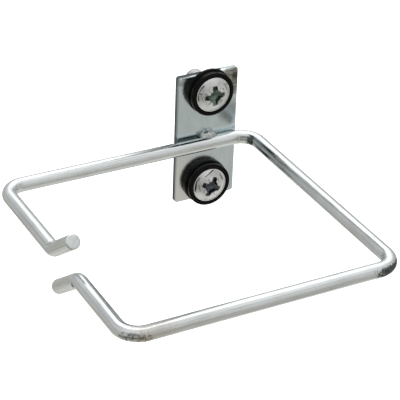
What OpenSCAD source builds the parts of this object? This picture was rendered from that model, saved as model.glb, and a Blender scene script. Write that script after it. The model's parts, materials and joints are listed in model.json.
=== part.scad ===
// Rack D-ring cable hook: one bent rod, welded to a one-unit plate that two
// cross-recessed screws in plastic cup washers clamp to a rack rail.
// +X runs along the plate, -Y points away from the rail, +Z is up. The origin
// is the middle of the plate's back face, half way between the two screws.

/* [Ring] */
// Diameter of the rod
rod_d = 4.4; // [3.6:0.1:6]
// Width of the ring, between the centre lines of its sides
ring_w = 83; // [70:1:120]
// Depth of the ring, from the back run's centre line to the front run's
ring_d = 84; // [70:1:120]
// Radius of the four corners, at the centre line
corner_r = 6; // [4:0.5:12]
// Distance from the middle of the plate to the centre line of the right side
right_reach = 14.5; // [13.5:0.5:30]
// Height of the ring's centre line above the middle of the plate
ring_z = -1.5; // [-3:0.25:1]

/* [Opening in the left side] */
// Distance from the back run's centre line to the middle of the opening
gap_centre = 45.5; // [40:0.5:48]
// Distance between the places where the two tips bend off
gap_span = 17; // [15:0.5:22]
// Angle at which the back tip rises and the front tip drops
tip_angle = 37; // [32:1:45]
// Length of each tip, from its bend to its end
tip_len = 17; // [12:0.5:20]
// Radius of the tips' bends, at the centre line
tip_bend_r = 5; // [4:0.5:8]
// Chamfer round the cut ends of the rod
tip_chamfer = 0.4; // [0.2:0.1:0.8]

/* [Mounting plate] */
// Width of the plate
plate_w = 20.6; // [17:0.1:26]
// Height of the plate, just under one rack unit
plate_h = 43.5; // [42:0.1:44.4]
// Thickness of the plate
plate_t = 2; // [1.5:0.1:3]
// Radius of the plate's corners
plate_r = 0.8; // [0.3:0.1:3]
// Distance between the screws: the outer two holes of a rack unit
screw_pitch = 31.75; // [31.75]
// Clearance of the plate's holes all round the screws
hole_gap = 0.3; // [0.2:0.05:0.7]

/* [Weld] */
// Depth to which the rod is pressed flat against the plate
weld_sink = 0.25; // [0.1:0.05:0.4]
// Radius of the weld bead
bead_r = 2.9; // [2.6:0.1:3.2]
// Distance from the rod's centre line up to the bead's middle
bead_offset = 1; // [0.8:0.1:1.4]

/* [Screws] */
// Thread diameter
screw_d = 6; // [5:0.5:6]
// Length from under the head to the end
screw_len = 12; // [10:1:25]
// Depth to which the plain neck under the head lies below the thread
neck_step = 0.35; // [0.2:0.05:0.5]
// Diameter of the head
head_d = 11.4; // [10:0.1:11.8]
// Height of the head's straight edge
head_edge_h = 1.9; // [1.2:0.1:2.6]
// Height of the dome above that edge
head_dome_h = 1.9; // [1.2:0.1:2.4]
// Width across the cross recess, where it meets the dome
recess_span = 6.7; // [5:0.1:7.4]
// Width of one wing of the recess
recess_wing = 1.6; // [0.9:0.05:1.8]
// Depth of the recess, from the top of the dome
recess_depth = 2.6; // [1.5:0.1:3]
// Diameter of the recess's core at the top of the dome
recess_core = 3.6; // [2.4:0.1:4.2]
// Diameter of the recess at its bottom
recess_point = 1.9; // [1.2:0.1:2.4]
// How far each recess is turned: upper screw, then lower screw
recess_turn = [2, -24]; // [-45:1:45]

/* [Cup washers] */
// Wall of the front rim round the screw head
rim_wall = 1.2; // [0.8:0.05:1.6]
// Height of the front rim
rim_h = 1.3; // [0.8:0.1:1.6]
// Depth of the groove between the rim and the flange
groove = 0.3; // [0.1:0.05:0.5]
// How far the flange that lies on the plate stands out past the rim
flange_out = 0.25; // [0:0.05:0.6]
// Thickness of that flange
flange_t = 1.1; // [0.8:0.1:1.4]
// Height of the whole washer
washer_h = 3.5; // [3:0.1:4.5]
// Thickness of the floor under the screw head
floor_t = 1.4; // [1:0.1:1.8]
// Gap round the head and round the shank
fit_gap = 0.25; // [0.15:0.05:0.35]

/* [Hidden] */
$fn = 72;

zinc = [0.78, 0.79, 0.77];
plate_zinc = [0.62, 0.67, 0.68];
weld_grey = [0.55, 0.57, 0.56];
head_zinc = [0.80, 0.80, 0.79];
washer_black = [0.05, 0.05, 0.05];

eps = 0.01;
quarter = 90;

dome_r = (pow(head_d / 2, 2) + pow(head_dome_h, 2)) / (2 * head_dome_h);
recess_sag = dome_r - sqrt(pow(dome_r, 2) - pow(recess_span / 2, 2));

rod_y = -(plate_t + rod_d / 2 - weld_sink);
left_x = right_reach - ring_w;

// The rod's straight runs, from the opening round the ring and back to it. A
// bend takes up r * tan(angle / 2) of the line on each side of its vertex.
tip_back = tip_bend_r * tan(tip_angle / 2);
tip_run = tip_len - tip_chamfer - tip_back;
back_arm = gap_centre - gap_span / 2 - corner_r - tip_back;
front_arm = ring_d - gap_centre - gap_span / 2 - corner_r - tip_back;
RUNS = [
    back_arm,
    ring_w - 2 * corner_r,
    ring_d - 2 * corner_r,
    ring_w - 2 * corner_r,
    front_arm
];
// Where a tip's straight stretch starts inside its bend: how much smaller its
// radius is there, and how far it reaches in.
tip_step = 0.005;
tip_lap = 0.1;

// Torus stretch that starts at the origin along +Z and turns towards +X.
module bend(r, angle) {
    translate([r, 0, 0])
        rotate([quarter, 0, 0])
            rotate_extrude(angle = angle, start = 180 - angle)
                translate([r, 0])
                    circle(d = rod_d);
}

// Carries its children from the start of such a bend to its end.
module past_bend(r, angle) {
    translate([r, 0, 0])
        rotate([0, angle, 0])
            translate([-r, 0, 0])
                children();
}

// A tip: one bend towards +X, then a straight stretch with a chamfered end. The
// straight is a hair thinner than the bend that it starts in.
module tip() {
    tip_d = rod_d - 2 * tip_step;
    bend(tip_bend_r, tip_angle);
    past_bend(tip_bend_r, tip_angle) {
        translate([0, 0, -tip_lap])
            cylinder(h = tip_run + tip_lap, d = tip_d);
        translate([0, 0, tip_run])
            cylinder(h = tip_chamfer, d1 = tip_d, d2 = tip_d - 2 * tip_chamfer);
    }
}

// The ring in its own plane: the straight runs of the list along +Z, with a
// corner that turns towards +X after each but the last, and a tip there.
module ring_run(runs, i = 0) {
    cylinder(h = runs[i], d = rod_d);
    translate([0, 0, runs[i]])
        if (i < len(runs) - 1) {
            bend(corner_r, quarter);
            past_bend(corner_r, quarter)
                ring_run(runs, i + 1);
        } else
            rotate([0, 0, quarter])
                tip();
}

// Places what lies along +Z from z = 0 on the plate's front face, pointing
// away from the rail, at the upper (side = 1) or lower (side = -1) screw.
module at_screw(side) {
    translate([0, -plate_t, side * screw_pitch / 2])
        rotate([quarter, 0, 0])
            children();
}

module plate_blank(grow = 0) {
    translate([0, grow, 0])
        rotate([quarter, 0, 0])
            linear_extrude(plate_t + grow)
                union() {
                    square([plate_w - 2 * plate_r, plate_h], center = true);
                    square([plate_w, plate_h - 2 * plate_r], center = true);
                    for (x = [-1, 1], z = [-1, 1])
                        translate([x * (plate_w / 2 - plate_r), z * (plate_h / 2 - plate_r)])
                            circle(r = plate_r);
                }
}

module ring_rod() {
    color(zinc)
        difference() {
            translate([left_x, rod_y - corner_r - back_arm, ring_z])
                rotate([-quarter, 0, 0]) {
                    ring_run(RUNS);
                    rotate([180, 0, 0])
                        rotate([0, 0, quarter])
                            tip();
                }
            plate_blank(plate_t);
        }
}

module mounting_plate() {
    color(plate_zinc)
        difference() {
            plate_blank();
            for (side = [-1, 1])
                at_screw(side)
                    translate([0, 0, -plate_t - 1])
                        cylinder(h = plate_t + 2, d = screw_d + 2 * hole_gap);
        }
}

// Weld metal in the corner above the rod.
module weld_bead() {
    color(weld_grey)
        difference() {
            translate([0, -plate_t, ring_z + bead_offset])
                sphere(r = bead_r);
            translate([-plate_w, -plate_t, -plate_h])
                cube([2 * plate_w, 2 * plate_w, 2 * plate_h]);
            translate([-plate_w, rod_y, ring_z])
                rotate([0, quarter, 0])
                    cylinder(h = 2 * plate_w, d = rod_d + 2 * eps);
            translate([-plate_w, -plate_h, ring_z - plate_h])
                cube([2 * plate_w, 2 * plate_h, plate_h]);
        }
}

// Flange, waist and rim, bored for the shank and sunk for the head. The rim's
// edges and the flange's edge are rounded.
module cup_washer(side) {
    socket_r = head_d / 2 + fit_gap;
    rim_r = socket_r + rim_wall;
    flange_r = rim_r + flange_out;
    flange_round = flange_t / 2;
    rim_round = rim_h / 3;
    color(washer_black)
        at_screw(side)
            rotate_extrude()
                difference() {
                    union() {
                        square([flange_r - flange_round, flange_t]);
                        square([flange_r, flange_t - flange_round]);
                        translate([flange_r - flange_round, flange_t - flange_round])
                            circle(r = flange_round);
                        square([rim_r - groove, washer_h - rim_h]);
                        translate([0, washer_h - rim_h])
                            square([rim_r, rim_h - rim_round]);
                        square([rim_r - rim_round, washer_h]);
                        translate([rim_r - rim_round, washer_h - rim_round])
                            circle(r = rim_round);
                    }
                    translate([0, -1])
                        square([screw_d / 2 + fit_gap, washer_h + 2]);
                    translate([0, floor_t])
                        square([socket_r, washer_h]);
                }
}
module cup_washer_upper() { cup_washer(1); }
module cup_washer_lower() { cup_washer(-1); }

// Diameter, at a height above the recess's bottom, of a cone that is as wide as
// the recess's point there and reaches diameter d at height h.
function cone_d(d, h, at) = recess_point + (d - recess_point) * at / h;

// Four wings round a core, both tapering to a point, cut down from the top of
// the dome.
module cross_recess(turn) {
    cut_h = recess_depth + 1;
    rotate([0, 0, turn])
        translate([0, 0, -recess_depth])
            intersection() {
                cylinder(h = cut_h, d1 = recess_point,
                         d2 = cone_d(recess_span, recess_depth - recess_sag, cut_h));
                union() {
                    for (a = [0, quarter])
                        rotate([0, 0, a])
                            translate([-recess_span, -recess_wing / 2, 0])
                                cube([2 * recess_span, recess_wing, cut_h]);
                    cylinder(h = cut_h, d1 = recess_point,
                             d2 = cone_d(recess_core, recess_depth, cut_h));
                }
            }
}

module screw(side) {
    head_h = head_edge_h + head_dome_h;
    neck_len = floor_t + plate_t;
    shank_chamfer = screw_d / 8;
    color(head_zinc)
        at_screw(side)
            translate([0, 0, floor_t]) {
                difference() {
                    union() {
                        intersection() {
                            cylinder(h = head_h + 1, d = head_d);
                            translate([0, 0, head_h - dome_r])
                                sphere(r = dome_r);
                        }
                        translate([0, 0, -neck_len - 1])
                            cylinder(h = neck_len + 1 + head_edge_h / 2, d = screw_d - 2 * neck_step);
                        translate([0, 0, shank_chamfer - screw_len])
                            cylinder(h = screw_len - shank_chamfer - neck_len, d = screw_d);
                        translate([0, 0, -screw_len])
                            cylinder(h = shank_chamfer, d1 = screw_d - 2 * shank_chamfer, d2 = screw_d);
                    }
                    translate([0, 0, head_h])
                        cross_recess(side > 0 ? recess_turn[0] : recess_turn[1]);
                }
            }
}
module screw_upper() { screw(1); }
module screw_lower() { screw(-1); }

ring_rod();
mounting_plate();
weld_bead();
cup_washer_upper();
cup_washer_lower();
screw_upper();
screw_lower();
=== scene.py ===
import json
import math
from collections import namedtuple

import bmesh
import bpy
import numpy as np
from mathutils import Matrix, Vector, noise


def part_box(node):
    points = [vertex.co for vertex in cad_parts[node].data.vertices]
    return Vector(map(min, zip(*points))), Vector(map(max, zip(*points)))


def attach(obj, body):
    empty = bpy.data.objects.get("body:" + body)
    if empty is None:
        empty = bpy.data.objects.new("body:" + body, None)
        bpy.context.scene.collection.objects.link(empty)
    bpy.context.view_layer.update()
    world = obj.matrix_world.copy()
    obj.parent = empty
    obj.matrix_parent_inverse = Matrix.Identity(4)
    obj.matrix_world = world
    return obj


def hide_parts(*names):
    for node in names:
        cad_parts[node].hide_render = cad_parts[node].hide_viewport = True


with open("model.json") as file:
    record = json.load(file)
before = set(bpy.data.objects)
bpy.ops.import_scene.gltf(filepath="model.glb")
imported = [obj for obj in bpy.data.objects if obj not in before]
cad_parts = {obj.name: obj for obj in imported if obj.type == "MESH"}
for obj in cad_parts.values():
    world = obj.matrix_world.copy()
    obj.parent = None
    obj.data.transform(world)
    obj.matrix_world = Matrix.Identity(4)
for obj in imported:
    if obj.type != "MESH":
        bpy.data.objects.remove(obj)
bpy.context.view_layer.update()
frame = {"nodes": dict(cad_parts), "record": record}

MM = 0.001
TURN = 2 * math.pi
QUARTER = TURN / 4


# ---------------------------------------------------- sizes and places, mm
def box_mm(node):
    """A solid's lowest and highest corners."""
    lo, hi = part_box(node)
    return np.array(lo) / MM, np.array(hi) / MM


ROD_LO, ROD_HI = box_mm("ring_rod")
PLATE_LO, PLATE_HI = box_mm("mounting_plate")
BEAD_LO, BEAD_HI = box_mm("weld_bead")
WASHER_LO, WASHER_HI = box_mm("cup_washer_upper")
SCREW_LO, SCREW_HI = box_mm("screw_upper")

# The rod, the centre lines of the ring's sides, and where the two tips bend off
ROD_R = 2.2
CORNER_R = 6.0
TIP_BEND_R = 5.0
TIP_ANGLE = math.radians(37)
TIP_LEN = 17.0
GAP_SPAN = 17.0
GAP_CENTRE = 45.5
ROD_LEFT, ROD_RIGHT = ROD_LO[0] + ROD_R, ROD_HI[0] - ROD_R
ROD_FRONT, ROD_BACK = ROD_LO[1] + ROD_R, ROD_HI[1] - ROD_R
ROD_LEVEL = (ROD_LO[2] + ROD_HI[2]) / 2
BACK_TIP_Y = ROD_BACK - GAP_CENTRE + GAP_SPAN / 2
FRONT_TIP_Y = ROD_BACK - GAP_CENTRE - GAP_SPAN / 2

# The rod's mesh
ROD_SIDES = 72
RUN_STEP = 0.8
BEND_STEP = 0.25
# How the real rod departs from a tube: drawn uneven, and pressed by the former at both
# ends of a bend, at its middle and on its sides, as far as so many half bends out
ROD_UNEVEN = 0.018
PRESS_AT_ENDS, PRESS_AT_MIDDLE, PRESS_ON_SIDES = 0.16, 0.10, 0.07
PRESS_REACH = 2.2
# A cut end, from the chamfer's start to near the middle of the face: how far each ring
# has shrunk, and how far it lies behind the face. The rod's own rings keep clear of it.
CUT_END = [
    (0.0, 0.4), (0.06, 0.26), (0.18, 0.12), (0.36, 0.02), (0.48, 0.0), (1.0, 0.0), (1.7, 0.0),
]
CUT_CLEAR = 0.48

# The plate, its edges and its two holes
PLATE_T = PLATE_HI[1] - PLATE_LO[1]
PLATE_R = 0.8
PLATE_R_LEAST = 0.2
FRONT_ROUND, BACK_ROUND = 0.32, 0.12
HOLE_R = 3.3
HOLE_ROUND = 0.6
HOLE_SIDES = 64

# The two places with a screw and a washer each, as far above the part's middle as below
PLACES = (("upper", 1), ("lower", -1))
SCREW_PITCH = WASHER_LO[2] + WASHER_HI[2]

# The screws, with heights counted outwards from the plate's front face
SCREW_SIDES = 256
HEAD_R = (SCREW_HI[0] - SCREW_LO[0]) / 2
HEAD_TOP = 5.2
HEAD_UNDER = 1.4
HEAD_ROUND = 0.3
DOME_H = 1.9
DOME_R = (HEAD_R ** 2 + DOME_H ** 2) / (2 * DOME_H)
NECK_R = 2.65
NECK_END = -PLATE_T - 0.05
THREAD_R = 3.0
THREAD_PITCH = 1.0
THREAD_DEPTH = 0.55
THREAD_STEP = 0.1
THREAD_RUN_IN = 1.3
SHANK_END = PLATE_LO[1] - SCREW_HI[1]
SHANK_CHAMFER = 0.75
# Grime and painted shade at the thread's roots, as a share of the recess's
ROOT_SHADE = 0.25

# The cross recess and the tick marks between its wings
WING_W = 1.65
WING_FLARE = 0.14
WING_TAPER = 0.07
WING_REACH = 3.4
CORE_R = 2.0
POINT_R = 0.95
RECESS_DEPTH = 2.45
RECESS_TURN = {"upper": math.radians(2), "lower": math.radians(-24)}
TICK_DEPTH = 0.16
TICK_HALF_W = 0.26
TICK_START, TICK_END = 1.7, 3.5

# The washers
WASHER_SIDES = 144
WASHER_H = WASHER_HI[1] - WASHER_LO[1]
FLANGE_R = (WASHER_HI[0] - WASHER_LO[0]) / 2
FLANGE_T = 1.1
SOCKET_R = HEAD_R + 0.25
RIM_R = SOCKET_R + 1.2
RIM_H = 1.3
WAIST_R = RIM_R - 0.3
BORE_R = THREAD_R + 0.25
FOOT_ROUND, FLANGE_ROUND, RIM_ROUND, MOUTH_ROUND = 0.15, 0.42, 0.38, 0.2
MOULD_WAVE = 0.012

# The weld bead: rows from left to right, points from the plate to the rod
BEAD_ROWS, BEAD_COLS = 49, 33
BEAD_ROOT = 0.46 * ROD_R
BEAD_BULGE, BEAD_RIPPLE, BEAD_LUMPS = 0.75, 0.05, 0.09

# How worn the plating is: 0 dark in a scratch, 1 bright where it's rubbed. The head's rim is
# painted bright on this scale, as a highlight.
PLAIN = 0.5
RIM_HIGHLIGHT = 0.95
SCRATCHED = 0.4
DENT_DEPTH = 0.05
# Scratches on the heads: from x, y to x, y, then half width and wear
SCRATCHES = {
    "upper": [
        (-3.6, 3.7, -4.8, 2.6, 0.34, 0.06), (-4.6, 2.7, -5.1, 1.8, 0.30, 0.10),
        (-5.3, 1.3, -4.3, 1.4, 0.24, 0.0), (-5.4, 1.0, -5.2, -0.8, 0.34, 0.04),
        (-4.9, 1.0, -4.7, -0.9, 0.18, 0.85), (-4.5, 0.9, -3.7, -1.4, 0.22, 0.20),
        (-4.2, 0.6, -3.4, -1.6, 0.16, 0.95), (-3.3, 1.3, -2.8, 0.8, 0.30, 0.18),
        (-2.2, 1.4, -1.7, 0.9, 0.30, 1.0), (4.3, 3.5, 4.8, 2.6, 0.32, 0.0),
        (3.7, 3.0, 4.3, 1.4, 0.55, 0.24), (3.0, 3.3, 3.9, 2.6, 0.24, 0.22),
        (2.0, 2.0, 2.4, 1.5, 0.32, 1.0), (2.6, 2.2, 2.8, 1.8, 0.24, 0.08),
        (3.1, 1.0, 3.5, 0.5, 0.28, 1.0), (1.6, -2.0, 2.2, -2.6, 0.16, 0.12),
        (2.0, -1.6, 2.7, -2.2, 0.16, 0.12), (1.1, -2.4, 1.6, -3.1, 0.16, 0.18),
        (-3.6, -0.2, -2.7, -2.6, 0.15, 0.22), (-1.4, 3.9, -0.1, 4.5, 0.14, 0.90),
        (-2.8, 2.5, -1.5, 3.3, 0.14, 0.25), (-2.5, -2.9, -0.6, -4.3, 0.13, 0.28),
        (0.6, 3.6, 1.9, 4.1, 0.13, 0.28), (-1.5, 2.2, -0.9, 2.6, 0.2, 0.3),
    ],
    "lower": [
        (1.2, 5.4, -0.5, 4.6, 0.34, 0.0), (-0.5, 4.6, -2.0, 3.8, 0.24, 0.08),
        (0.6, 5.5, -2.1, 4.2, 0.2, 1.0), (-3.9, 3.6, -4.5, 2.6, 0.34, 0.12),
        (-4.6, 3.2, -4.9, 2.0, 0.32, 0.0), (-4.9, 2.0, -5.3, -0.9, 0.40, 0.0),
        (-4.5, 1.9, -4.7, -0.5, 0.18, 0.95), (-4.3, 1.3, -3.8, -0.9, 0.22, 0.16),
        (-4.0, 2.8, -3.4, 0.7, 0.14, 0.34), (3.3, 3.4, 3.9, 1.9, 0.60, 0.22),
        (3.9, 2.5, 4.3, 1.5, 0.30, 0.12), (-0.9, 3.0, -0.5, 2.4, 0.32, 1.0),
        (2.2, 2.3, 2.4, 1.9, 0.24, 0.08), (1.9, 1.6, 2.5, 1.1, 0.16, 0.95),
        (-2.6, -1.4, -1.8, -2.3, 0.18, 0.22), (0.6, 3.9, 1.9, 4.4, 0.14, 0.90),
        (-2.9, 0.5, -2.3, -0.2, 0.18, 0.20), (2.5, -0.7, 3.3, -1.4, 0.16, 0.22),
        (-3.0, -2.4, -1.2, -4.2, 0.13, 0.28), (1.0, -3.6, 2.6, -3.0, 0.13, 0.28),
        (-2.6, 2.2, -1.8, 3.0, 0.14, 0.3),
    ],
}

# A darker patch, a stain or painted shade and reflection: its middle and radius, the heights of
# the mottle at which it starts and is full, how much it covers at most, its darkest and palest
# colour, and whether it keeps off the rod's top
Patch = namedtuple("Patch", "place radius start full most dark pale off_top", defaults=(False,))

# Darker marks on the rod: black at the front right corner, brown at the
# front left one, with lesser marks at the tips' bends and the back right corner. Some are painted
# shade and painted reflection, as said at each.
ROD_STAINS_AND_SHADE = [
    Patch((ROD_LEFT + 7.5, ROD_FRONT - 1.5, ROD_LEVEL - 1.6), 12.0, 0.28, 0.55, 0.50,
          (0.56, 0.48, 0.38), (0.66, 0.60, 0.52)),
    Patch((ROD_LEFT + 4.4, ROD_FRONT - 1.8, ROD_LEVEL - 0.8), 5.0, 0.44, 0.54, 0.85,
          (0.14, 0.08, 0.04), (0.42, 0.32, 0.22)),
    Patch((ROD_LEFT + 0.6, ROD_FRONT + 0.8, ROD_LEVEL + 0.2), 6.0, 0.49, 0.57, 0.90,
          (0.07, 0.08, 0.07), (0.30, 0.32, 0.30), off_top=True),
    # painted shade in the crease on the inner side of the front tip's bend
    Patch((ROD_LEFT - 2.0, FRONT_TIP_Y - 0.6, ROD_LEVEL - 1.2), 1.8, 0.28, 0.38, 0.90,
          (0.10, 0.10, 0.10), (0.25, 0.25, 0.25)),
    Patch((ROD_LEFT - 0.4, BACK_TIP_Y + 0.2, ROD_LEVEL + 2.2), 2.0, 0.42, 0.52, 0.80,
          (0.20, 0.21, 0.20), (0.45, 0.45, 0.44)),
    Patch((ROD_RIGHT - 3.2, ROD_FRONT - 1.2, ROD_LEVEL - 0.8), 9.5, 0.34, 0.44, 0.96,
          (0.03, 0.04, 0.033), (0.24, 0.27, 0.25), off_top=True),
    # these two, on the inner side by the back right corner, are dark grime and a painted
    # reflection of the shaded rail
    Patch((ROD_RIGHT - 2.2, ROD_BACK - 4.5, ROD_LEVEL + 0.3), 2.5, 0.28, 0.38, 0.92,
          (0.05, 0.062, 0.058), (0.22, 0.26, 0.25)),
    Patch((ROD_RIGHT - 5.0, ROD_BACK - 2.2, ROD_LEVEL + 0.2), 2.6, 0.44, 0.52, 0.50,
          (0.30, 0.34, 0.31), (0.55, 0.59, 0.56)),
]
# Stains round the plate's two upper corners
PLATE_STAINS = [
    Patch((PLATE_HI[0], PLATE_LO[1], PLATE_HI[2] - 3.5), 9.0, 0.28, 0.40, 0.92,
          (0.05, 0.045, 0.035), (0.50, 0.47, 0.41)),
    Patch((PLATE_HI[0] - 1.0, PLATE_LO[1], PLATE_HI[2] - 2.6), 1.8, 0.26, 0.38, 0.95,
          (0.02, 0.02, 0.015), (0.16, 0.15, 0.125)),
    Patch((PLATE_LO[0] + 1.5, PLATE_LO[1], PLATE_HI[2] - 0.5), 5.0, 0.38, 0.50, 0.75,
          (0.20, 0.19, 0.16), (0.60, 0.60, 0.55)),
]

# The studio: its floor, the punched rail that reflections see, and an overhead light
# whose place and size are in metres
FLOOR_Z = -160
FLOOR_HALF = 4000
RAIL_Y = 0.4
RAIL_X = (-30.0, 5.4)
RAIL_Z = (-150.0, 160.0)
RAIL_HOLE_HALF = 4.4
# The rows of square holes above and below the plate
RAIL_HOLES = [sign * z for z in (28.575, 44.45, 60.325) for sign in (-1, 1)]
KEY_PLACE = (-0.25, 0.15, 1.5)
KEY_SIZE = 1.8
KEY_WATTS = 14

# The photograph's camera, solved from the rail's holes: its place in metres, its angles
# in degrees, and its focal length and the photograph's width in pixels
CAMERA_PLACE = (-0.2234, -0.4057, 0.2476)
CAMERA_AZIMUTH, CAMERA_ELEVATION, CAMERA_ROLL = -28.81, 30.41, 2.19
FOCAL_PIXELS, PHOTO_PIXELS = 1682, 400
SENSOR_W = 36


# ------------------------------------------------------------ mesh builders
def smoothstep(a, b, x):
    """0 at a, 1 at b and eased between them."""
    t = np.clip((x - a) / (b - a), 0, 1)
    return t * t * (3 - 2 * t)


def bell(x, middle, width):
    """1 at the middle, falling off on both sides of it."""
    return math.exp(-((x - middle) / width) ** 2)


def beyond(start, x):
    """0 up to a start, then rising evenly to 1 at 1."""
    return np.clip((x - start) / (1 - start), 0, 1)


def place_object(name, data):
    obj = bpy.data.objects.new(name, data)
    bpy.context.scene.collection.objects.link(obj)
    return obj


def make_object(name, verts, faces, smooth=True, sharp_deg=None):
    mesh = bpy.data.meshes.new(name)
    mesh.from_pydata([tuple(v * MM) for v in verts], [], faces)
    mesh.update()
    mesh.polygons.foreach_set("use_smooth", [smooth] * len(mesh.polygons))
    if sharp_deg is not None:
        mesh.set_sharp_from_angle(angle=math.radians(sharp_deg))
    return place_object(name, mesh)


def grid_faces(rows, cols, close_cols=True, close_rows=False, first=0):
    """Quads of a grid of points, either way open or closed on itself."""
    faces = []
    for i in range(rows if close_rows else rows - 1):
        a, b = first + i * cols, first + (i + 1) % rows * cols
        for j in range(cols if close_cols else cols - 1):
            k = (j + 1) % cols
            faces.append((a + j, a + k, b + k, b + j))
    return faces


def skin(name, rings, caps=True, flip=False, sharp_deg=None):
    """A closed skin over rings of points: capped by fans, or closed on itself. It looks
    outwards if the rings turn anticlockwise about the way that the rows run. Where they
    turn the other way, flip is set."""
    rows, cols = rings.shape[:2]
    verts = rings.reshape(-1, 3)
    faces = grid_faces(rows, cols, close_rows=not caps)
    if caps:
        first, last = len(verts), len(verts) + 1
        verts = np.vstack([verts, rings[0].mean(0), rings[-1].mean(0)])
        end = (rows - 1) * cols
        for j in range(cols):
            k = (j + 1) % cols
            faces.append((first, k, j))
            faces.append((last, end + j, end + k))
    if flip:
        faces = [f[::-1] for f in faces]
    return make_object(name, verts, faces, sharp_deg=sharp_deg)


def store(obj, name, kind, key, values):
    """Keeps one value per point of a mesh, for its material to read."""
    attribute = obj.data.attributes.new(name, kind, "POINT")
    attribute.data.foreach_set(key, np.asarray(values, np.float32).ravel())


def at_screw(points, side):
    """Moves points with z out of the plate's front face to the upper (side = 1) or
    lower (side = -1) screw."""
    out = np.empty_like(points)
    out[..., 0] = points[..., 0]
    out[..., 1] = PLATE_LO[1] - points[..., 2]
    out[..., 2] = points[..., 1] + side * SCREW_PITCH / 2
    return out


def arc(cx, cy, r, a0, a1, n):
    """Points of a profile's arc, angles in degrees."""
    angles = np.radians(np.linspace(a0, a1, n))
    return [(cx + r * math.cos(a), cy + r * math.sin(a)) for a in angles]


def line(p, q, n):
    """n points from p towards q, without q."""
    return [(p[0] + (q[0] - p[0]) * i / n, p[1] + (q[1] - p[1]) * i / n) for i in range(n)]


# ------------------------------------------------------------------ the rod
# A place on the rod's centre line: the axes n and b of the section there, the length so
# far and, in a bend, the directions towards the bend's pivot and along its axis
Station = namedtuple("Station", "place n b length bend")


def rod_path():
    """Stations from the raised back tip round the ring to the dropped front tip, and the
    first and last station of each bend."""
    east, up = np.array([1.0, 0, 0]), np.array([0, 0, 1.0])
    setback = TIP_BEND_R * math.tan(TIP_ANGLE / 2)
    tip_run = TIP_LEN - setback
    back_arm = ROD_BACK - BACK_TIP_Y - CORNER_R - setback
    front_arm = FRONT_TIP_Y - ROD_FRONT - CORNER_R - setback
    wide = ROD_RIGHT - ROD_LEFT - 2 * CORNER_R
    deep = ROD_BACK - ROD_FRONT - 2 * CORNER_R
    corner = (CORNER_R, -up, QUARTER)
    steps = [
        (tip_run, (TIP_BEND_R, east, TIP_ANGLE)),
        (back_arm, corner), (wide, corner), (deep, corner), (wide, corner),
        (front_arm, (TIP_BEND_R, -east, TIP_ANGLE)),
        (tip_run, None),
    ]
    t = np.array([0, math.cos(TIP_ANGLE), -math.sin(TIP_ANGLE)])
    p = np.array([ROD_LEFT, BACK_TIP_Y, ROD_LEVEL]) - TIP_LEN * t
    n, b, s = east, np.cross(t, east), 0.0
    stations, bends = [], []
    for run, bend in steps:
        count = int(run / RUN_STEP)
        for _ in range(count):
            stations.append(Station(p, n, b, s, None))
            p = p + t * run / count
            s += run / count
        if bend is None:
            stations.append(Station(p, n, b, s, None))
            break
        radius, axis, angle = bend
        count = int(radius * angle / BEND_STEP)
        bends.append((len(stations), len(stations) + count - 1))
        inner = np.cross(axis, t)
        pivot = p + radius * inner
        turn = np.array(Matrix.Rotation(angle / count, 3, Vector(axis)))
        for _ in range(count):
            stations.append(Station(p, n, b, s, (inner, axis)))
            p = pivot + turn @ (p - pivot)
            t, n, b, inner = turn @ t, turn @ n, turn @ b, turn @ inner
            s += radius * angle / count
    return stations, bends


def press_marks(radial, u, inner, axis):
    """How far the former pressed in a bend's section, u running from -1 to 1 through the
    bend: flats on its inner side, and slight ones on the two sides next to that."""
    inside = beyond(0.72, radial @ inner)
    beside = beyond(0.8, np.abs(radial @ axis))
    flat = PRESS_AT_ENDS * bell(abs(u), 0.75, 0.28) + PRESS_AT_MIDDLE * bell(u, 0, 0.5)
    return flat * inside + PRESS_ON_SIDES * bell(u, 0, 0.9) * beside


def drawn_unevenness(s, phi):
    """Drawn rod is never perfectly round: how low its skin lies, s along it. The low
    places are long along the rod and short round it."""
    return ROD_UNEVEN * np.array([
        0.5 + 0.5 * noise.noise(Vector((s * 0.05, 3.1 * math.cos(a), 3.1 * math.sin(a))))
        for a in phi
    ])


def cut_end(ring, coord, centre, inwards):
    """Rings of a cut end and their places along and across the rod."""
    scales = [1 - shrink / ROD_R for shrink, _ in CUT_END]
    rings = [centre + (ring - centre) * scale + inwards * behind
             for scale, (_, behind) in zip(scales, CUT_END)]
    return rings, [coord * (1, scale, scale) for scale in scales]


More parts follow.
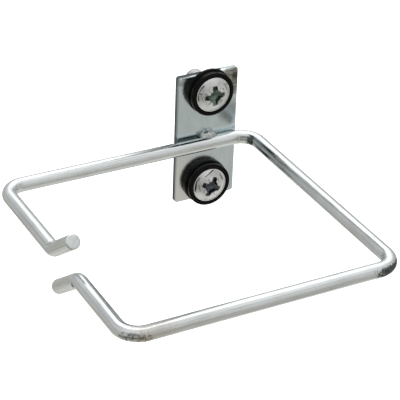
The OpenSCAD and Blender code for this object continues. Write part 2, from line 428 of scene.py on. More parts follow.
def make_rod():
    stations, bends = rod_path()
    places = np.array([st.place for st in stations])
    lengths = np.array([st.length for st in stations])
    phi = np.arange(ROD_SIDES) * TURN / ROD_SIDES
    rings, coords = [], []
    for i, (place, n, b, s, _) in enumerate(stations):
        radial = np.outer(np.cos(phi), n) + np.outer(np.sin(phi), b)
        r = np.full(ROD_SIDES, ROD_R)
        for first, last in bends:
            middle = (lengths[first] + lengths[last]) / 2
            u = (s - middle) / (lengths[last] - middle)
            if abs(u) <= PRESS_REACH:
                nearest = stations[min(max(i, first), last)]
                r -= press_marks(radial, u, *nearest.bend)
        r -= drawn_unevenness(s, phi)
        ring = place + radial * r[:, None]
        # the weld holds it pressed flat against the plate
        by_plate = np.abs(ring[:, 0]) < PLATE_HI[0] + 1
        ring[by_plate, 1] = np.minimum(ring[by_plate, 1], PLATE_LO[1])
        rings.append(ring)
        coords.append(np.column_stack(
            [np.full(ROD_SIDES, s), ROD_R * np.cos(phi), ROD_R * np.sin(phi)]))

    ends = []
    for end, step in ((0, places[1] - places[0]), (-1, places[-2] - places[-1])):
        inwards = step / np.linalg.norm(step)
        ends.append(cut_end(rings[end], coords[end], places[end], inwards))
    (first_rings, first_coords), (last_rings, last_coords) = ends
    between = [k for k, s in enumerate(lengths) if CUT_CLEAR < s <= lengths[-1] - CUT_CLEAR]
    rings = first_rings[::-1] + [rings[k] for k in between] + last_rings
    coords = first_coords[::-1] + [coords[k] for k in between] + last_coords
    rod = skin("ring_rod_skin", np.array(rings), sharp_deg=50)
    fan_middles = [[0, 0, 0], [lengths[-1], 0, 0]]
    along = np.vstack([np.array(coords).reshape(-1, 3), fan_middles])
    store(rod, "along", "FLOAT_VECTOR", "vector", along)
    return rod


# ---------------------------------------------------------------- the plate
def plate_outline(inset, per_corner=10):
    """The plate's outline as (x, z), drawn in by an inset."""
    x, z = PLATE_HI[0] - inset, PLATE_HI[2] - inset
    r = max(PLATE_R - inset, PLATE_R_LEAST)
    corners = ((x - r, z - r, 0), (r - x, z - r, 90), (r - x, r - z, 180), (x - r, r - z, 270))
    return [p for cx, cz, a in corners for p in arc(cx, cz, r, a, a + 90, per_corner)]


def plate_edge():
    """The edge's profile from front to back, as (inset, y): a round in front where the
    blanking die drew the metal in, and a sharper edge at the back."""
    front = [(FRONT_ROUND * (1 - math.sin(a)), PLATE_LO[1] + FRONT_ROUND * (1 - math.cos(a)))
             for a in np.linspace(0, QUARTER, 7)]
    back = [(BACK_ROUND * (1 - math.cos(a)), PLATE_HI[1] - BACK_ROUND * (1 - math.sin(a)))
            for a in np.linspace(0, QUARTER, 4)]
    return front + back


def make_plate():
    """Blanked plate with two holes: walls all round, then a front and a back face."""
    edge = plate_edge()
    walls = [[[(x, y, z) for x, z in plate_outline(inset)] for inset, y in edge]]
    for side in (1, -1):
        walls.append([
            [(x, y, z) for x, z in arc(0, side * SCREW_PITCH / 2, HOLE_R + inset * HOLE_ROUND,
                                       0, -360 + 360 / HOLE_SIDES, HOLE_SIDES)]
            for inset, y in edge
        ])
    bm = bmesh.new()
    front_loops, back_loops = [], []
    for wall in walls:
        verts = [[bm.verts.new(Vector(p) * MM) for p in ring] for ring in wall]
        flat = [v for ring in verts for v in ring]
        for f in grid_faces(len(wall), len(wall[0])):
            bm.faces.new([flat[i] for i in f]).smooth = True
        front_loops.append(verts[0])
        back_loops.append(verts[-1])
    for loops in (front_loops, back_loops):
        edges = [bm.edges.get(pair) for loop in loops for pair in zip(loop, loop[1:] + loop[:1])]
        made = bmesh.ops.triangle_fill(bm, use_beauty=True, use_dissolve=False, edges=edges)
        for g in made["geom"]:
            if isinstance(g, bmesh.types.BMFace):
                g.smooth = False
    bmesh.ops.recalc_face_normals(bm, faces=bm.faces)
    mesh = bpy.data.meshes.new("mounting_plate_skin")
    bm.to_mesh(mesh)
    bm.free()
    return place_object("mounting_plate_skin", mesh)


# --------------------------------------------------------------- the screws
def recess_depth_at(x, y):
    """Depth below the dome of the cross recess and of the four tick marks."""
    r = np.hypot(x, y)
    half_wing = WING_W / 2 + WING_FLARE - WING_TAPER * r
    in_wings = half_wing - np.minimum(np.abs(x), np.abs(y))
    wall = smoothstep(-0.08, 0.10, np.maximum(in_wings, CORE_R - r))
    slope = np.clip((WING_REACH - r) / (WING_REACH - POINT_R), 0, 1) ** 0.7
    # the ticks are lines at 45 degrees between the wings
    u, v = np.abs(x + y) / math.sqrt(2), np.abs(x - y) / math.sqrt(2)
    out, off = np.maximum(u, v), np.minimum(u, v)
    tick = smoothstep(TICK_HALF_W, TICK_HALF_W - 0.2, off)
    tick *= smoothstep(TICK_START, TICK_START + 0.3, out)
    tick *= smoothstep(TICK_END, TICK_END - 0.4, out)
    return np.maximum(RECESS_DEPTH * slope * wall, TICK_DEPTH * tick)


def wear_at(x, y, word):
    """PLAIN on whole plating, towards 0 in scratches and towards 1 on rubbed metal."""
    wear = np.full(np.shape(x), PLAIN)
    for x0, y0, x1, y1, width, value in SCRATCHES[word]:
        dx, dy = x1 - x0, y1 - y0
        t = np.clip(((x - x0) * dx + (y - y0) * dy) / (dx * dx + dy * dy), 0, 1)
        gap = np.hypot(x - x0 - t * dx, y - y0 - t * dy)
        wear += (value - wear) * smoothstep(width, width * 0.3, gap)
    return wear


def dome_z(r):
    return HEAD_TOP - (DOME_R - math.sqrt(DOME_R ** 2 - r * r))


class ScrewRings:
    """Rings of a screw from the middle of its head to the end of its shank, with how deep
    in a hollow and how worn each point is; the head's bright rim is a painted highlight."""

    def __init__(self, word):
        self.word = word
        self.theta = np.arange(SCREW_SIDES) * TURN / SCREW_SIDES
        self.rings, self.cavity, self.wear = [], [], []
        self.add_dome()
        self.add_head_edge()
        self.add_thread()

    def add(self, r, z, cavity=0.0, wear=PLAIN):
        r, z, cavity, wear = (np.broadcast_to(v, SCREW_SIDES) for v in (r, z, cavity, wear))
        x, y = r * np.cos(self.theta), r * np.sin(self.theta)
        self.rings.append(np.column_stack([x, y, z]))
        self.cavity.append(cavity)
        self.wear.append(wear)

    def add_dome(self):
        rim = HEAD_R - HEAD_ROUND
        turned = self.theta - RECESS_TURN[self.word]
        # the rings lie closer over the recess than outside it
        for r in np.concatenate([np.linspace(0.12, 3.6, 66), np.linspace(3.70, rim, 18)]):
            cut = recess_depth_at(r * np.cos(turned), r * np.sin(turned))
            wear = wear_at(r * np.cos(self.theta), r * np.sin(self.theta), self.word)
            # the edge is painted bright as a highlight but for the scratches, which are dents too
            scratched = wear <= SCRATCHED
            wear = np.maximum(wear, RIM_HIGHLIGHT * smoothstep(rim - 0.22, rim, r) * ~scratched)
            dent = DENT_DEPTH * smoothstep(SCRATCHED, 0.0, wear)
            self.add(r, dome_z(r) - cut - dent, np.clip(cut / 0.9, 0, 1), wear)

    def add_head_edge(self):
        rim = HEAD_R - HEAD_ROUND
        top = dome_z(rim)
        # the rounded edge is painted bright, as a highlight
        for a in np.linspace(0, QUARTER, 7)[1:]:
            self.add(rim + HEAD_ROUND * math.sin(a), top - HEAD_ROUND * (1 - math.cos(a)),
                     wear=RIM_HIGHLIGHT)
        for z in np.linspace(top - HEAD_ROUND - 0.2, HEAD_UNDER + 0.15, 5):
            self.add(HEAD_R, z)
        self.add(HEAD_R - 0.05, HEAD_UNDER + 0.04)
        self.add(HEAD_R - 0.15, HEAD_UNDER)
        for r in np.linspace(HEAD_R - 0.6, NECK_R + 0.25, 5):
            self.add(r, HEAD_UNDER)
        self.add(NECK_R + 0.06, HEAD_UNDER - 0.06)
        self.add(NECK_R, HEAD_UNDER - 0.25)

    def add_thread(self):
        self.add(NECK_R, NECK_END + 0.6)
        run = NECK_END - SHANK_END
        count = int(run / THREAD_STEP)
        for k in range(count + 1):
            z = NECK_END - run * k / count
            phase = (z / THREAD_PITCH + self.theta / TURN) % 1.0
            crest = smoothstep(0.12, 0.82, 1 - np.abs(2 * phase - 1))
            r = THREAD_R - THREAD_DEPTH * (1 - crest)
            r = NECK_R + (r - NECK_R) * smoothstep(0.0, THREAD_RUN_IN, NECK_END - z)
            r = np.minimum(r, THREAD_R - SHANK_CHAMFER + z - SHANK_END)
            self.add(r, z, ROOT_SHADE * (1 - crest))
        for r in (1.9, 1.2, 0.5):
            self.add(r, SHANK_END)


def make_screw(side, word):
    made = ScrewRings(word)
    points = at_screw(np.array(made.rings), side)
    screw = skin("screw_" + word + "_skin", points, flip=True, sharp_deg=62)
    # the middles of the recess and of the shank's end come after the rings
    cavity = [*np.array(made.cavity).ravel(), 1.0, 0.0]
    wear = [*np.array(made.wear).ravel(), PLAIN, PLAIN]
    store(screw, "cavity", "FLOAT", "value", cavity)
    store(screw, "wear", "FLOAT", "value", wear)
    return screw


# -------------------------------------------------------------- the washers
def rounded(r, z, size, towards, angles, n):
    """The corner (r, z) of a profile, rounded about a centre that lies towards the
    signs given."""
    return arc(r + towards[0] * size, z + towards[1] * size, size, *angles, n)


def washer_profile():
    """Half a washer as (radius, height), anticlockwise from the bore's foot: the flange,
    the waist, the rim, the socket and its floor."""
    step = WASHER_H - RIM_H
    return (
        line((BORE_R, 0), (FLANGE_R - FOOT_ROUND, 0), 6)
        + rounded(FLANGE_R, 0, FOOT_ROUND, (-1, 1), (-90, 0), 4)
        + rounded(FLANGE_R, FLANGE_T, FLANGE_ROUND, (-1, -1), (0, 90), 7)
        + rounded(WAIST_R, FLANGE_T, 0.12, (1, 1), (270, 180), 4)
        + line((WAIST_R, FLANGE_T + 0.16), (WAIST_R, step - 0.06), 3)
        + rounded(WAIST_R, step, 0.08, (1, -1), (180, 90), 4)
        + rounded(RIM_R, step, 0.12, (-1, 1), (-90, 0), 4)
        + rounded(RIM_R, WASHER_H, RIM_ROUND, (-1, -1), (0, 90), 8)
        + line((RIM_R - 0.5, WASHER_H), (SOCKET_R + 0.28, WASHER_H), 4)
        + rounded(SOCKET_R, WASHER_H, MOUTH_ROUND, (1, -1), (90, 180), 5)
        + line((SOCKET_R, WASHER_H - 0.3), (SOCKET_R, HEAD_UNDER + 0.1), 4)
        + line((SOCKET_R - 0.1, HEAD_UNDER), (BORE_R + 0.1, HEAD_UNDER), 5)
        + line((BORE_R, HEAD_UNDER - 0.1), (BORE_R, 0.1), 3)
    )


def mould_wave(z, side, theta):
    """The slight waviness of a moulded outside, always inwards and different on the two
    washers."""
    return MOULD_WAVE * np.array([
        noise.noise(Vector((math.cos(a) * 1.3, math.sin(a) * 1.3, z + side))) - 0.6
        for a in theta
    ])


def make_washer(side, word):
    theta = np.arange(WASHER_SIDES) * TURN / WASHER_SIDES
    rings = []
    for r, z in washer_profile():
        outside = r > HEAD_R + 0.5
        rr = r + (mould_wave(z, side, theta) if outside else 0)
        rings.append(np.column_stack(
            [rr * np.cos(theta), rr * np.sin(theta), np.full(WASHER_SIDES, z)]))
    points = at_screw(np.array(rings), side)
    return skin("cup_washer_" + word + "_skin", points, caps=False, sharp_deg=60)


# ------------------------------------------------------------ the weld bead
def on_rod(x, angle):
    """A place on the rod's back run, the angle being 0 at its back and rising upwards."""
    return (x, ROD_BACK + ROD_R * math.cos(angle), ROD_LEVEL + ROD_R * math.sin(angle))


def bead_row(u):
    """One upright section of the bead, u running from -1 at its left to 1 at its right:
    its skin from the plate to the rod, then its underside, down the plate and up round
    the rod."""
    seat = PLATE_LO[1]
    w = math.sqrt(max(1 - u * u, 0))
    x = (BEAD_LO[0] + BEAD_HI[0]) / 2 + (BEAD_HI[0] - BEAD_LO[0]) / 2 * u * 0.995
    z_toe = ROD_LEVEL + BEAD_ROOT + (BEAD_HI[2] - ROD_LEVEL - BEAD_ROOT) * w ** 0.8
    _, y_rod, z_rod = on_rod(x, math.radians(90 + 18 * w))
    # outwards from the straight line between the two toes
    out_y, out_z = -abs(z_toe - z_rod), abs(y_rod - seat)
    length = math.hypot(out_y, out_z)
    top = []
    for v in np.linspace(0, 1, BEAD_COLS):
        arch = w * math.sin(math.pi * v)
        rise = BEAD_BULGE * w * math.sin(math.pi * v) ** 0.8
        rise += BEAD_RIPPLE * arch * math.sin(9 * u + 2.2 * math.cos(2.6 * v + 0.4))
        rise += BEAD_LUMPS * arch * noise.noise(Vector((u * 2.1 + 5, v * 2.3, 1.7)))
        y = seat + (y_rod - seat) * v + rise * out_y / length
        z = z_toe + (z_rod - z_toe) * v + rise * out_z / length
        top.append((x, y, z) if w > 1e-6 else (x, seat, ROD_LEVEL + BEAD_ROOT))
    touch = math.acos((seat - ROD_BACK) / ROD_R)
    end = math.atan2(top[-1][2] - ROD_LEVEL, top[-1][1] - ROD_BACK)
    down_to = on_rod(x, touch)[2]
    on_plate = BEAD_COLS // 2
    under = [(x, seat, top[0][2] + (down_to - top[0][2]) * k / on_plate)
             for k in range(on_plate)]
    under += [on_rod(x, angle) for angle in np.linspace(touch, end, BEAD_COLS - on_plate)]
    return top, under


def make_bead():
    """A frozen puddle between rod and plate, with the ripples of a short weld."""
    sections = [bead_row(u) for u in np.linspace(-1, 1, BEAD_ROWS)]
    verts = np.array([top for top, _ in sections] + [under for _, under in sections])
    faces = grid_faces(BEAD_ROWS, BEAD_COLS, close_cols=False)
    below = grid_faces(BEAD_ROWS, BEAD_COLS, close_cols=False, first=BEAD_ROWS * BEAD_COLS)
    faces += [f[::-1] for f in below]
    obj = make_object("weld_bead_skin", verts.reshape(-1, 3), faces)
    bm = bmesh.new()
    bm.from_mesh(obj.data)
    bmesh.ops.remove_doubles(bm, verts=bm.verts, dist=0.004 * MM)
    bmesh.ops.dissolve_degenerate(bm, dist=0.0005 * MM, edges=bm.edges)
    bmesh.ops.recalc_face_normals(bm, faces=bm.faces)
    for f in bm.faces:
        f.smooth = True
    bm.to_mesh(obj.data)
    bm.free()
    return obj


# --------------------------------------------------------------- node trees
class Nodes:
    """Small helper round one node tree. A value is a constant or another node's output."""

    def __init__(self, tree):
        self.tree = tree

    @staticmethod
    def rgba(c):
        return (c, c, c, 1) if isinstance(c, (int, float)) else (*c, 1)

    def feed(self, socket, value):
        if isinstance(value, bpy.types.NodeSocket):
            self.tree.links.new(value, socket)
        else:
            socket.default_value = self.rgba(value) if socket.type == "RGBA" else value

    def add(self, kind, inputs=None, **settings):
        """A new node, its inputs given by name or place."""
        node = self.tree.nodes.new(kind)
        for name, value in settings.items():
            setattr(node, name, value)
        for key, value in (inputs or {}).items():
            self.feed(node.inputs[key], value)
        return node

    def attribute(self, name, output="Fac"):
        return self.add("ShaderNodeAttribute", attribute_name=name).outputs[output]

    def split(self, vector):
        return self.add("ShaderNodeSeparateXYZ", {0: vector}).outputs

    def math(self, operation, *values):
        node = self.add("ShaderNodeMath", dict(enumerate(values)), operation=operation)
        return node.outputs[0]

    def span(self, value, start, end, first=0.0, last=1.0, smooth=False):
        """Runs from first to last while the value runs from start to end."""
        node = self.add(
            "ShaderNodeMapRange",
            {"Value": value, "From Min": start, "From Max": end, "To Min": first, "To Max": last},
            interpolation_type="SMOOTHSTEP" if smooth else "LINEAR")
        return node.outputs[0]

    def ramp(self, fac, stops, interpolation="LINEAR"):
        node = self.add("ShaderNodeValToRGB", {"Fac": fac})
        node.color_ramp.interpolation = interpolation
        elements = node.color_ramp.elements
        while len(elements) > 1:
            elements.remove(elements[-1])
        elements[0].position, elements[0].color = stops[0][0], self.rgba(stops[0][1])
        for place, colour in stops[1:]:
            elements.new(place).color = self.rgba(colour)
        return node.outputs["Color"]

    def mix(self, fac, a, b, blend="MIX"):
        inputs = {"Factor": fac, 6: a, 7: b}
        return self.add("ShaderNodeMix", inputs, data_type="RGBA", blend_type=blend).outputs[2]

    def tint(self, colour, by):
        return self.mix(1.0, colour, by, "MULTIPLY")

    def shader(self, kind, colour):
        return self.add(kind, {"Color": colour}).outputs[0]

    def mix_shaders(self, fac, a, b):
        return self.add("ShaderNodeMixShader", {0: fac, 1: a, 2: b}).outputs[0]


class Material(Nodes):
    """A new material, whose places and scales are in mm of the object."""

    def __init__(self, name):
        self.mat = bpy.data.materials.new(name)
        self.mat.use_nodes = True
        super().__init__(self.mat.node_tree)
        self.bsdf = self.tree.nodes["Principled BSDF"]
        self.position = self.add("ShaderNodeTexCoord").outputs["Object"]

    def noise(self, scale, detail, rough=0.5, distort=0.0, attribute=None):
        """Noise of so many waves per mm, the same each way or one number for each axis."""
        source, unit = self.position, 1 / MM
        if attribute is not None:
            source, unit = self.attribute(attribute, "Vector"), 1.0
        scales = scale if isinstance(scale, tuple) else (scale,) * 3
        vector = self.add(
            "ShaderNodeMapping", {"Vector": source, "Scale": [unit * s for s in scales]})
        node = self.add("ShaderNodeTexNoise", {
            "Vector": vector.outputs["Vector"], "Scale": 1.0, "Detail": detail,
            "Roughness": rough, "Distortion": distort})
        return node.outputs["Fac"]

    def distance(self, place):
        """Distance from a place, in metres."""
        inputs = {0: self.position, 1: [v * MM for v in place]}
        return self.add("ShaderNodeVectorMath", inputs, operation="DISTANCE").outputs["Value"]

    def near(self, place, radius):
        """1 at a place on the object, falling to 0 at a radius from it."""
        metres = radius * MM
        return self.span(self.distance(place), 0.25 * metres, metres, 1.0, 0.0, smooth=True)

    def below(self, z, soft):
        """1 well under a height on the object, 0 over it."""
        height = self.split(self.position)["Z"]
        return self.span(height, (z - soft) * MM, z * MM, 1.0, 0.0, smooth=True)

    def off_plane(self, axis, at):
        """Distance from a plane across an axis, in cm as a ramp reaches from 0 to 1."""
        offset = self.math("SUBTRACT", self.split(self.position)[axis], at * MM)
        return self.math("MULTIPLY", self.math("ABSOLUTE", offset), 0.1 / MM)

    def patch_cover(self, patch, mottle, mask=None):
        """Cover of a patch of stain or painted shade, which breaks up with the mottle away from
        its middle.
        """
        near = self.near(patch.place, patch.radius)
        if mask is not None:
            near = self.math("MULTIPLY", near, mask)
        height = self.math("ADD", mottle, self.math("MULTIPLY_ADD", near, 0.4, -0.4))
        return self.ramp(height, [(patch.start, 0.0), (patch.full, patch.most)])

    def bump(self, height, strength, distance, normal=None):
        inputs = {"Height": height, "Strength": strength, "Distance": distance * MM}
        if normal is not None:
            inputs["Normal"] = normal
        return self.add("ShaderNodeBump", inputs).outputs["Normal"]

    def surface(self, shader):
        self.feed(self.tree.nodes["Material Output"].inputs["Surface"], shader)

    def finish(self, inputs):
        for key, value in inputs.items():
            self.feed(self.bsdf.inputs[key], value)
        return self.mat

    def finish_metal(self, colour, rough, normal):
        return self.finish(
            {"Base Color": colour, "Roughness": rough, "Normal": normal, "Metallic": 1.0})


# ---------------------------------------------------------------- materials
def rod_material():
    m = Material("rod_bright_zinc")
    clouds = m.noise((0.10, 0.45, 0.45), 4.0, 0.6, attribute="along")
    drawn = m.noise((0.05, 2.6, 2.6), 3.0, 0.6, attribute="along")
    specks = m.noise((1.3, 2.0, 2.0), 3.0, 0.6, attribute="along")
    lines = m.noise((0.015, 4.0, 4.0), 2.0, attribute="along")
    colour = m.ramp(clouds, [
        (0.30, (0.72, 0.74, 0.72)), (0.5, (0.81, 0.835, 0.83)), (0.72, (0.86, 0.89, 0.90)),
    ])
    colour = m.tint(colour, m.ramp(specks, [(0.24, 0.5), (0.33, 1.0)]))
    colour = m.tint(colour, m.ramp(lines, [(0.30, 0.70), (0.42, 1.0)]))
    mottle = m.noise(1.5, 5.0, 0.7)
    below_top = m.below(ROD_LEVEL + 2.5, 1.5)
    # where stains and painted shade and reflection lie, the rod is also duller
    grime_and_shade = 0.0
    for patch in ROD_STAINS_AND_SHADE:
        cover = m.patch_cover(patch, mottle, below_top if patch.off_top else None)
        tone = m.ramp(mottle, [(0.48, patch.dark), (0.68, patch.pale)])
        colour = m.mix(cover, colour, tone)
        grime_and_shade = m.math("MAXIMUM", grime_and_shade, cover)
    rough = m.mix(grime_and_shade, m.ramp(drawn, [(0.3, 0.12), (0.7, 0.22)]), 0.45)
    normal = m.bump(drawn, 0.22, 0.04)
    normal = m.bump(clouds, 0.35, 0.25, normal)
    return m.finish_metal(colour, rough, normal)


def plate_material():
    m = Material("plate_blue_zinc")
    cloud = m.noise((0.11, 0.11, 0.07), 4.0, 0.55, 0.6)
    grain = m.noise((3.0, 3.0, 0.16), 3.0, 0.6)
    fine = m.noise(2.4, 3.0, 0.6)
    mottle = m.noise(1.1, 5.0, 0.7)
    colour = m.ramp(cloud, [
        (0.30, (0.77, 0.865, 0.91)), (0.52, (0.855, 0.955, 0.99)), (0.72, (0.90, 0.98, 1.0)),
    ])
    colour = m.tint(colour, m.ramp(grain, [(0.3, 0.92), (0.7, 1.0)]))

    # every mark lies on the front face alone: the back keeps its plain plating
    front_face = m.span(
        m.split(m.position)["Y"], (PLATE_LO[1] + 0.3 * PLATE_T) * MM,
        (PLATE_LO[1] + 0.6 * PLATE_T) * MM, 1.0, 0.0)

    def mark(cover, tone):
        return m.mix(m.math("MULTIPLY", cover, front_face), colour, tone)

    # a warm cast low on the left, and a darker patch under the upper washer's right side
    low_left = (PLATE_LO[0], PLATE_LO[1], PLATE_LO[2] + 6)
    colour = mark(m.near(low_left, 15), (0.99, 0.99, 0.955))
    dark_patch = m.near((PLATE_HI[0] - 2.4, PLATE_LO[1], 7.2), 5.2)
    colour = mark(m.math("MULTIPLY", dark_patch, 0.70), (0.30, 0.33, 0.34))
    for patch in PLATE_STAINS:
        tone = m.ramp(mottle, [(0.40, patch.dark), (0.62, patch.pale)])
        colour = mark(m.patch_cover(patch, mottle), tone)
    # painted shade and a painted dark reflection of the rod, in a band on the plate along the
    # rod, most on the left
    rod_shade_band = m.ramp(m.off_plane("Z", ROD_LEVEL), [(0.24, 1.0), (0.375, 0.0)], "EASE")
    left_end = m.near((PLATE_LO[0], PLATE_LO[1], ROD_LEVEL), 18)
    cover = m.math("MULTIPLY", rod_shade_band, m.math("MULTIPLY_ADD", left_end, 0.34, 0.52))
    tone = m.ramp(mottle, [(0.40, (0.12, 0.16, 0.15)), (0.62, (0.24, 0.29, 0.28))])
    colour = mark(cover, tone)
    rough = m.ramp(fine, [(0.3, 0.16), (0.7, 0.22)])
    normal = m.bump(grain, 0.10, 0.02)
    normal = m.bump(cloud, 0.10, 0.20, normal)
    return m.finish_metal(colour, rough, normal)


def weld_material():
    m = Material("weld_metal_plated")
    coarse = m.noise(1.1, 5.0, 0.65)
    fine = m.noise(4.0, 3.0, 0.6)
    colour = m.ramp(coarse, [
        (0.32, (0.30, 0.31, 0.30)), (0.5, (0.55, 0.57, 0.56)), (0.66, (0.80, 0.81, 0.80)),
    ])
    rough = m.ramp(fine, [(0.3, 0.18), (0.7, 0.42)])
    normal = m.bump(coarse, 0.6, 0.25)
    normal = m.bump(fine, 0.4, 0.08, normal)
    return m.finish_metal(colour, rough, normal)


def screw_material():
    m = Material("screw_satin_zinc")
    cloud = m.noise(0.35, 4.0, 0.6)
    scratch = m.noise((0.5, 1.0, 4.5), 3.0, 0.7, 1.2)
    fine = m.noise(5.0, 3.0, 0.6)
    fleck = m.noise(1.6, 4.0, 0.65)
    wear, cavity = m.attribute("wear"), m.attribute("cavity")
    colour = m.ramp(cloud, [
        (0.32, (0.70, 0.71, 0.69)), (0.5, (0.83, 0.845, 0.83)), (0.7, (0.93, 0.94, 0.93)),
    ])
    colour = m.tint(colour, m.ramp(scratch, [(0.26, 0.55), (0.36, 1.0)]))
    # bright where scratches rubbed the plating, and on the head's edge, whose brightness is a
    # painted highlight
    colour = m.mix(m.ramp(wear, [(0.55, 0.0), (0.95, 1.0)]), colour, (0.96, 0.96, 0.95))
    colour = m.tint(colour, m.ramp(wear, [(0.0, 0.08), (0.45, 1.0)]))
    # grime and painted shade in the recess and at the thread's roots: greenish in the upper
    # screw, blue-black in the lower
    upper = m.ramp(fleck, [(0.36, (0.105, 0.14, 0.12)), (0.64, (0.30, 0.36, 0.32))])
    lower = m.ramp(fleck, [(0.36, (0.05, 0.056, 0.064)), (0.64, (0.20, 0.215, 0.235))])
    grime_and_shade = m.mix(m.below(1.0, 2.0), upper, lower)
    colour = m.mix(m.ramp(cavity, [(0.03, 0.0), (0.40, 1.0)]), colour, grime_and_shade)
    rough = m.ramp(fine, [(0.3, 0.26), (0.7, 0.40)])
    normal = m.bump(fine, 0.25, 0.05)
    normal = m.bump(scratch, 0.3, 0.08, normal)
    return m.finish_metal(colour, rough, normal)


def washer_material():
    m = Material("washer_black_nylon")
    fine = m.noise(2.2, 3.0, 0.6)
    dust = m.noise(7.0, 2.0)
    return m.finish({
        "Base Color": m.ramp(fine, [(0.35, 0.0003), (0.7, 0.0008)]),
        "Roughness": m.ramp(dust, [(0.3, 0.16), (0.75, 0.30)]),
        "Normal": m.bump(fine, 0.12, 0.04),
        "Specular IOR Level": 0.15,
    })


# ----------------------------------------------------------------- assemble
LOOKS = {
    "rod_zinc": rod_material(), "plate_zinc": plate_material(), "weld_metal": weld_material(),
    "washer_black": washer_material(), "screw_zinc": screw_material(),
}


def dress(piece, node, slot):
    piece.data.materials.append(LOOKS[slot])
    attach(piece, "root")
    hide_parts(node)


dress(make_rod(), "ring_rod", "rod_zinc")
dress(make_plate(), "mounting_plate", "plate_zinc")
dress(make_bead(), "weld_bead", "weld_metal")
for word, side in PLACES:
    dress(make_washer(side, word), "cup_washer_" + word, "washer_black")
for word, side in PLACES:
    dress(make_screw(side, word), "screw_" + word, "screw_zinc")

SLOTS = {part["node"]: part["material_slot"] for part in frame["record"]["subparts"]}
for name, node in frame["nodes"].items():
    node.data.materials.clear()
    node.data.materials.append(LOOKS[SLOTS[name]])


# ------------------------------------------------------------------- studio
def make_floor():
    """White to the camera. Reflections see it greyer, with a pool of light on it."""
    corners = ((-1, -1), (1, -1), (1, 1), (-1, 1))
    verts = [np.array((x * FLOOR_HALF, y * FLOOR_HALF, FLOOR_Z)) for x, y in corners]
    floor = make_object("studio_floor", verts, [(0, 1, 2, 3)], smooth=False)
    m = Material("studio_floor_white")
    path = m.add("ShaderNodeLightPath").outputs
    m.finish({
        "Base Color": (0.92, 0.92, 0.915), "Roughness": 0.9, "Specular IOR Level": 0.0,
        "Emission Color": (1, 1, 1),
        "Emission Strength": m.math("MULTIPLY", path["Is Camera Ray"], 0.55),
    })
    # a bright pool under the object, a dip round it, paler far off: stops in metres
    pool = m.ramp(m.distance((0, 0, FLOOR_Z)), [
        (0.05, (0.65, 0.645, 0.615)), (0.13, (0.62, 0.615, 0.585)),
        (0.19, (0.50, 0.495, 0.465)), (0.26, (0.445, 0.44, 0.41)),
        (0.36, (0.44, 0.435, 0.405)), (0.60, (0.50, 0.495, 0.47)),
        (1.0, (0.55, 0.545, 0.525)),
    ])

    def spot(x, y, inner, outer, most):
        away = m.distance((x, y, FLOOR_Z))
        return m.math("MULTIPLY", m.ramp(away, [(inner, 1.0), (outer, 0.0)], "EASE"), most)

    # paler on the right; in front on the left, a painted shadow of the photographer
    pool = m.mix(spot(220, 20, 0.08, 0.24, 0.14), pool, (1.0, 1.0, 0.97), "ADD")
    pool = m.mix(spot(-300, -360, 0.12, 0.34, 0.75), pool, (0.06, 0.06, 0.055))
    glow = m.shader("ShaderNodeEmission", pool)
    m.surface(m.mix_shaders(path["Is Glossy Ray"], m.bsdf.outputs[0], glow))
    floor.data.materials.append(m.mat)


def rail_card_mesh():
    """The rail's face without its holes and without what the plate covers."""
    x_cuts = (RAIL_X[0], PLATE_LO[0], -RAIL_HOLE_HALF, RAIL_HOLE_HALF, RAIL_X[1])
    hole_edges = [z + d for z in RAIL_HOLES for d in (-RAIL_HOLE_HALF, RAIL_HOLE_HALF)]
    z_cuts = sorted([*RAIL_Z, PLATE_LO[2], PLATE_HI[2], *hole_edges])
    verts = [np.array((x, RAIL_Y, z)) for z in z_cuts for x in x_cuts]
    cols = len(x_cuts)
    faces = []
    for row, (low, high) in enumerate(zip(z_cuts, z_cuts[1:])):
        for col, (left, right) in enumerate(zip(x_cuts, x_cuts[1:])):
            x, z = (left + right) / 2, (low + high) / 2
            covered = x > PLATE_LO[0] and abs(z) < PLATE_HI[2]
            from_hole = min(abs(z - hole) for hole in RAIL_HOLES)
            if not covered and max(abs(x), from_hole) > RAIL_HOLE_HALF:
                a = row * cols + col
                faces.append((a, a + 1, a + 1 + cols, a + cols))
    return verts, faces


def make_rail_card():
    """Stands where the punched rail would be, glowing with the rail's painted look and its
    painted shade: seen only in reflections, from the front.
    """
    card = make_object("studio_rail_card", *rail_card_mesh(), smooth=False)
    m = Material("studio_rail_grey")
    m.tree.nodes.remove(m.bsdf)
    x = m.split(m.position)["X"]
    across = m.span(x, RAIL_X[0] * MM, RAIL_X[1] * MM)
    metal = m.ramp(across, [
        (0.0, (0.34, 0.355, 0.355)), (0.5, (0.40, 0.42, 0.425)), (1.0, (0.44, 0.46, 0.465)),
    ])
    metal = m.tint(metal, m.ramp(m.noise((0.25, 1, 0.02), 2.0), [(0.3, 0.75), (0.7, 1.0)]))
    # the gap behind the plate's edges is in shade
    beside = m.math("SUBTRACT", m.off_plane("X", 0), PLATE_HI[0] / 10)
    above = m.math("SUBTRACT", m.off_plane("Z", 0), PLATE_HI[2] / 10)
    shade = m.ramp(m.math("MAXIMUM", beside, above), [(0.03, 0.18), (0.12, 0.50), (0.50, 1.0)])
    glow = m.shader("ShaderNodeEmission", m.tint(metal, shade))
    clear = m.add("ShaderNodeBsdfTransparent").outputs[0]
    fade = m.ramp(across, [(0.0, 1.0), (0.45, 0.0)], "EASE")
    backfacing = m.add("ShaderNodeNewGeometry").outputs["Backfacing"]
    m.surface(m.mix_shaders(m.math("MAXIMUM", backfacing, fade), glow, clear))
    card.data.materials.append(m.mat)
    card.visible_camera = False
    card.visible_diffuse = False
    card.visible_shadow = False
    card.visible_transmission = False


def direction(azimuth, elevation):
    """Unit vector for angles in degrees, azimuth 0 being in front of the plate."""
    az, el = math.radians(azimuth), math.radians(elevation)
    return math.sin(az) * math.cos(el), -math.cos(az) * math.cos(el), math.sin(el)


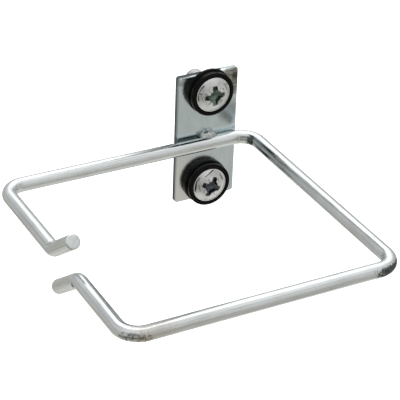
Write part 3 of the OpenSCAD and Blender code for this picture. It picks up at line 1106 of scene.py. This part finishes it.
def make_world():
    """Soft room in reflections, with a broad key light high behind on the right. The
    camera sees it white."""
    world = bpy.data.worlds.new("studio")
    bpy.context.scene.world = world
    world.use_nodes = True
    world.node_tree.nodes.clear()
    m = Nodes(world.node_tree)
    ray = m.add("ShaderNodeTexCoord").outputs["Generated"]
    axes = m.split(ray)

    def sky(*stops):
        """Stops of elevation in degrees, brightness and how blue it is."""
        return m.ramp(m.span(axes["Z"], -1, 1), [
            ((math.sin(math.radians(e)) + 1) / 2, (v * (1 - blue), v, v * (1 + blue)))
            for e, v, blue in stops
        ])

    def towards(azimuth, elevation, start, full):
        """1 in a direction, by the cosines from which it rises and is full."""
        inputs = {0: ray, 1: direction(azimuth, elevation)}
        cosine = m.add("ShaderNodeVectorMath", inputs, operation="DOT_PRODUCT")
        return m.span(cosine.outputs["Value"], start, full, smooth=True)

    front = sky((-2, 0.56, -0.03), (8, 0.59, -0.015), (32, 0.67, 0.01),
                (50, 0.79, 0.015), (66, 0.92, 0.01), (85, 1.0, 0.0))
    behind = sky((-2, 0.43, 0.01), (8, 0.46, 0.01), (18, 0.55, 0.01),
                 (32, 0.62, 0.015), (50, 0.62, 0.01), (75, 0.95, 0.0))
    lit = m.mix(m.span(axes["Y"], -0.15, 0.25), front, behind)
    lit = m.mix(towards(150, 50, 0.80, 0.96), lit, (0.70, 0.71, 0.72), "ADD")
    # two darker sides
    for where, most in (((-38, 10, 0.84, 0.965), 0.72), ((60, 2, 0.86, 0.97), 0.30)):
        lit = m.mix(m.math("MULTIPLY", towards(*where), most), lit, (0.10, 0.10, 0.10))
    room = m.shader("ShaderNodeBackground", lit)
    white = m.shader("ShaderNodeBackground", (1, 1, 1))
    is_camera = m.add("ShaderNodeLightPath").outputs["Is Camera Ray"]
    m.add("ShaderNodeOutputWorld", {"Surface": m.mix_shaders(is_camera, room, white)})


def make_key_light():
    """Lights the part from above and isn't seen in reflections."""
    data = bpy.data.lights.new("key_overhead", "AREA")
    data.shape = "RECTANGLE"
    data.size = data.size_y = KEY_SIZE
    data.energy = KEY_WATTS
    lamp = place_object("key_overhead", data)
    lamp.location = KEY_PLACE
    lamp.rotation_euler = (-Vector(KEY_PLACE)).to_track_quat("-Z", "Y").to_euler()
    lamp.visible_glossy = False


def make_camera():
    """Where the photograph was taken from."""
    roll = math.radians(CAMERA_ROLL)
    back = Vector(direction(CAMERA_AZIMUTH, CAMERA_ELEVATION))
    level_right = Vector((0, 0, 1)).cross(back).normalized()
    level_up = back.cross(level_right)
    right = level_right * math.cos(roll) + level_up * math.sin(roll)
    up = level_up * math.cos(roll) - level_right * math.sin(roll)
    data = bpy.data.cameras.new("camera")
    data.sensor_width = SENSOR_W
    data.lens = SENSOR_W * FOCAL_PIXELS / PHOTO_PIXELS
    data.clip_start, data.clip_end = 0.01, 50
    camera = place_object("camera", data)
    turned = Matrix((right, up, back)).transposed().to_4x4()
    camera.matrix_world = Matrix.Translation(CAMERA_PLACE) @ turned
    bpy.context.scene.camera = camera


make_floor()
make_rail_card()
make_world()
make_key_light()
make_camera()
bpy.context.scene.view_settings.view_transform = "Standard"
